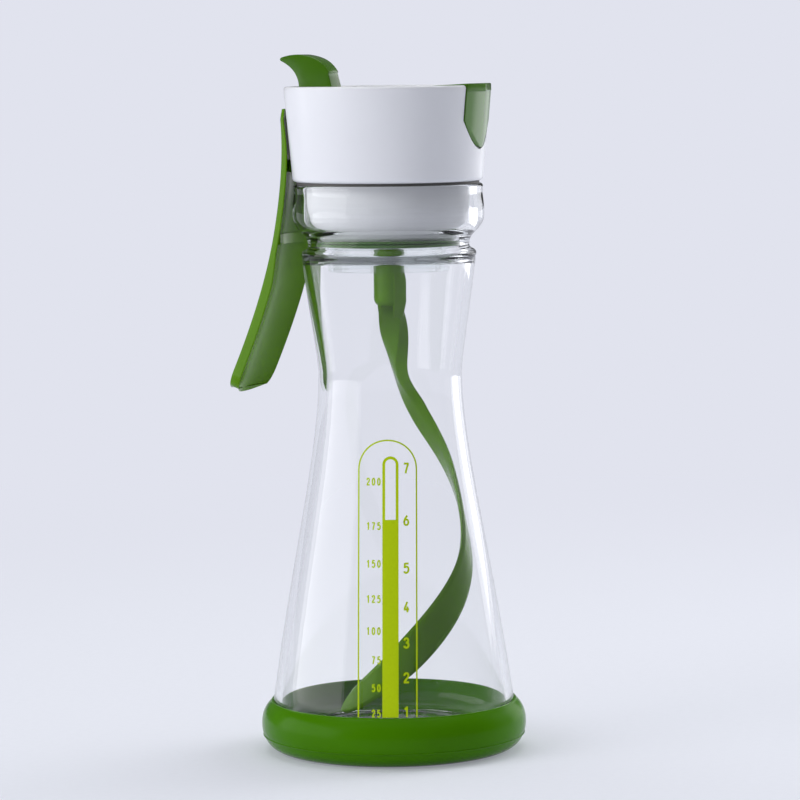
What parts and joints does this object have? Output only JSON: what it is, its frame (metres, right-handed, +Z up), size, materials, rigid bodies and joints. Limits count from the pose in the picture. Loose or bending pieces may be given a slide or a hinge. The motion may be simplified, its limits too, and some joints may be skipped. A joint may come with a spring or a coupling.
{
  "type": "salad dressing shaker bottle",
  "caption": "Waisted clear bottle in a green rubber foot, with a white cap, a squeeze trigger that spins a helical mixing blade, and a thumb lever that opens the pour spout",
  "frame": {"origin": "on the bottle's axis, in the plane of its flat foot", "axes": "+Z up along the bottle's axis; +X toward the pour spout, -X toward the squeeze trigger; +Y completes a right-handed frame"},
  "size_m": [0.0899, 0.08, 0.2099],
  "materials": {
    "clear_body": "clear moulded walls, polished",
    "green_rubber": "soft satin green",
    "white_gloss": "white moulded, glossy",
    "white_inner": "white moulded, satin",
    "green_gloss": "green moulded, glossy",
    "green_blade": "green moulded, satin",
    "seal_rubber": "dark green silicone",
    "clear_guide": "clear moulded",
    "gear_plastic": "natural acetal, satin",
    "steel": "bright drawn steel",
    "soft_seal": "translucent silicone"
  },
  "bodies": {
    "bottle": {"bottle": "clear_body", "base_boot": "green_rubber"},
    "head": {"cap_shell": "white_gloss", "cap_deck": "white_inner", "plug_bowl": "white_gloss", "neck_gasket": "seal_rubber", "lip_gasket": "seal_rubber", "shaft_guide": "clear_guide", "shaft_bush": "gear_plastic", "shaft_seal": "seal_rubber", "gear_plate": "white_inner", "plate_screws": "steel", "gear_axle": "steel", "pour_duct": "white_inner", "trigger_pin": "steel", "return_spring": "steel", "lever_pin": "steel"},
    "trigger": {"trigger": "green_gloss"},
    "drive_rack": {"drive_rack": "gear_plastic"},
    "compound_gear": {"compound_gear": "gear_plastic"},
    "agitator": {"drive_shaft": "steel", "shaft_clip": "steel", "center_pinion": "gear_plastic", "blade_hub": "green_blade", "mixing_blade": "green_blade"},
    "pour_lever": {"pour_lever": "green_gloss", "spout_seal": "soft_seal"}
  },
  "joints": [
    {"name": "head_lift", "type": "slide", "parent": "bottle", "child": "head", "axis": [0, 0, 1], "range_m": [0, 0.005]},
    {"name": "trigger_squeeze", "type": "hinge", "parent": "head", "child": "trigger", "pos_m": [-0.023, 0, 0.1764], "axis": [0, -1, 0], "range_deg": [0, 10], "stiffness_Nm_per_rad": 0.35, "springref_deg": -6.88},
    {"name": "rack_slide", "type": "slide", "parent": "head", "child": "drive_rack", "axis": [-1, 0, 0], "range_m": [0, 0.00216]},
    {"name": "gear_spin", "type": "hinge", "parent": "head", "child": "compound_gear", "pos_m": [0, -0.0132, 0.182], "axis": [0, 0, 1], "range_deg": [0, 51.4]},
    {"name": "agitator_spin", "type": "hinge", "parent": "head", "child": "agitator", "pos_m": [0, 0, 0.16], "axis": [0, 0, -1], "range_deg": [0, 231]},
    {"name": "pour_lever_rock", "type": "hinge", "parent": "head", "child": "pour_lever", "pos_m": [-0.012, 0, 0.1978], "axis": [0, -1, 0], "range_deg": [0, 11]}
  ],
  "couplings": [
    {"joint": "rack_slide", "follows": "trigger_squeeze", "m_per_rad": 0.012287},
    {"joint": "gear_spin", "follows": "trigger_squeeze", "ratio": 5.1197},
    {"joint": "agitator_spin", "follows": "trigger_squeeze", "ratio": 23.039}
  ]
}
